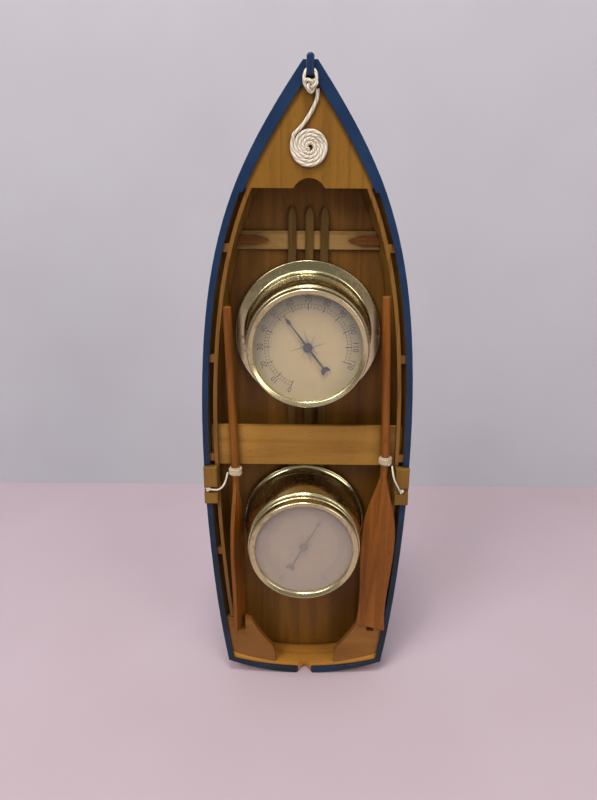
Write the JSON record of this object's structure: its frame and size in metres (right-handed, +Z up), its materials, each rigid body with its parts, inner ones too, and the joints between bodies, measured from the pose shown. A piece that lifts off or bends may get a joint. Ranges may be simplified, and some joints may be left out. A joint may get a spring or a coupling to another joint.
{
  "type": "wall-hung ship barometer",
  "caption": "Wall-hung ship barometer and thermometer in brass cases, set in an open wooden rowing boat with oars, thwart, floor slats and a coiled painter.",
  "frame": {"origin": "mouth of the keyhole hanger's round hole, on the back plane", "axes": "+Z up towards the boat's bow, +Y into the wall, +X to starboard, the viewer's right"},
  "size_m": [0.2014, 0.076, 0.6105],
  "materials": {
    "blue_paint": "satin navy paint on wood",
    "honey_wood": "clear satin varnish",
    "pale_wood": "clear satin varnish",
    "stained_floor": "dark stain under satin varnish",
    "oar_wood": "reddish stain under varnish",
    "case_brass": "polished and lacquered",
    "movement_brass": "plain machined",
    "zinc_steel": "zinc plated",
    "spring_steel": "tempered strip",
    "capsule_nickel": "nickel-plated",
    "dial_card": "printed cream card on a backing disc",
    "glass": "clear; the lower one fogged",
    "blued_pointer": "blued",
    "cotton_thread": "three-strand cotton"
  },
  "bodies": {
    "boat": {"aneroid_capsule": "capsule_nickel", "arbor_bridge": "movement_brass", "back_board": "stained_floor", "barometer_bezel": "case_brass", "barometer_case": "case_brass", "barometer_case_screws": "zinc_steel", "barometer_dial": "dial_card", "barometer_glass": "glass", "bimetal_coil": "spring_steel", "capsule_nut": "movement_brass", "coil_bracket": "movement_brass", "floor_slats": "stained_floor", "foot_cleats": "oar_wood", "foredeck": "honey_wood", "forward_cross_board": "honey_wood", "hairspring": "spring_steel", "hanger_screws": "zinc_steel", "inwale_spacers": "pale_wood", "main_spring": "spring_steel", "middle_thwart": "honey_wood", "movement_pillars": "movement_brass", "movement_plate": "movement_brass", "painter_coil": "cotton_thread", "painter_knot": "cotton_thread", "painter_line": "cotton_thread", "port_capping": "blue_paint", "port_inwale": "pale_wood", "port_knee": "honey_wood", "port_lanyard": "cotton_thread", "port_rowlock": "honey_wood", "port_side": "blue_paint", "rocker_posts": "movement_brass", "spring_link": "movement_brass", "starboard_capping": "blue_paint", "starboard_inwale": "pale_wood", "starboard_knee": "honey_wood", "starboard_lanyard": "cotton_thread", "starboard_rowlock": "honey_wood", "starboard_side": "blue_paint", "stem_post": "blue_paint", "stern_capping": "blue_paint", "thermometer_bezel": "case_brass", "thermometer_case": "case_brass", "thermometer_case_screws": "zinc_steel", "thermometer_dial": "dial_card", "thermometer_glass": "glass", "transom": "honey_wood", "wall_hanger": "zinc_steel"},
    "thermometer_pointer_set": {"thermometer_pointer": "blued_pointer", "thermometer_staff": "movement_brass"},
    "barometer_pointer_set": {"barometer_pointer": "blued_pointer", "pointer_arbor": "movement_brass"},
    "rocker": {"rocking_shaft": "movement_brass"},
    "chain": {"drive_chain": "spring_steel"},
    "setting_screw_body": {"setting_screw": "movement_brass"},
    "port_oar_body": {"port_oar": "oar_wood", "port_oar_collar": "cotton_thread"},
    "starboard_oar_body": {"starboard_oar": "oar_wood", "starboard_oar_collar": "cotton_thread"}
  },
  "joints": [
    {"name": "thermometer_pointer_turn", "type": "hinge", "parent": "boat", "child": "thermometer_pointer_set", "pos_m": [0, -0.06, -0.1375], "axis": [0, 1, 0], "range_deg": [-120.5, 149.5]},
    {"name": "rocker_turn", "type": "hinge", "parent": "boat", "child": "rocker", "pos_m": [-0.002, -0.041, -0.311], "axis": [1, 0, 0], "range_deg": [-19.8, 13.39]},
    {"name": "barometer_pointer_turn", "type": "hinge", "parent": "boat", "child": "barometer_pointer_set", "pos_m": [-0.002, -0.06, -0.337], "axis": [0, 1, 0], "range_deg": [-179, 121]},
    {"name": "chain_pull", "type": "slide", "parent": "boat", "child": "chain", "axis": [0, 0, -1], "range_m": [-0.00485, 0.0033]},
    {"name": "setting_screw_turn", "type": "hinge", "parent": "boat", "child": "setting_screw_body", "pos_m": [-0.002, -0.015, -0.3645], "axis": [0, 1, 0], "range_deg": [-180, 180]},
    {"name": "port_oar_lift", "type": "hinge", "parent": "boat", "child": "port_oar_body", "pos_m": [-0.0709, -0.03, -0.2245], "axis": [-1, 0, 0], "range_deg": [0, 6]},
    {"name": "starboard_oar_lift", "type": "hinge", "parent": "boat", "child": "starboard_oar_body", "pos_m": [0.0757, -0.03, -0.2245], "axis": [-1, 0, 0], "range_deg": [0, 6]}
  ],
  "couplings": [
    {"joint": "barometer_pointer_turn", "follows": "rocker_turn", "ratio": 9.0323},
    {"joint": "chain_pull", "follows": "rocker_turn", "m_per_rad": 0.014}
  ]
}
